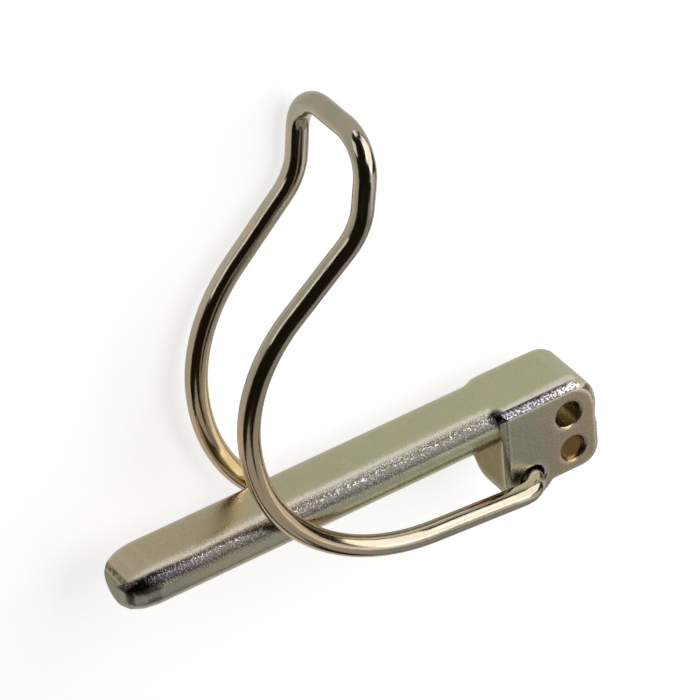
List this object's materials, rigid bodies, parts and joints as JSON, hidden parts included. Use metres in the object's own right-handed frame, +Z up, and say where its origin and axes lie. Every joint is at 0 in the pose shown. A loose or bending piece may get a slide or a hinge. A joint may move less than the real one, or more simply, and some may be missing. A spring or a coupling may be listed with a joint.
{
  "type": "lynch pin",
  "caption": "Forged steel lynch pin with a flattened head, a lanyard hole and a sprung wire bail that swings over its tip.",
  "frame": {"origin": "middle of the overall outline, on the surface that the part lies on", "axes": "+X along the shank from its tip to its head, +Y towards the bail's loop, +Z up along the bail's hinge axis"},
  "size_m": [0.0802, 0.08, 0.0208],
  "materials": {
    "forged_zinc": "forged, yellow-passivated zinc, dull olive with a fine sparkle",
    "wire_zinc": "drawn wire, yellow-passivated zinc, smooth and glossy"
  },
  "bodies": {
    "pin": {"pin": "forged_zinc"},
    "bail": {"bail": "wire_zinc"}
  },
  "joints": [
    {"name": "bail_hinge", "type": "hinge", "parent": "pin", "child": "bail", "pos_m": [0.02778, -0.03531, 0.0104], "axis": [0, 0, 1], "range_deg": [-116.6, 63.4]}
  ]
}
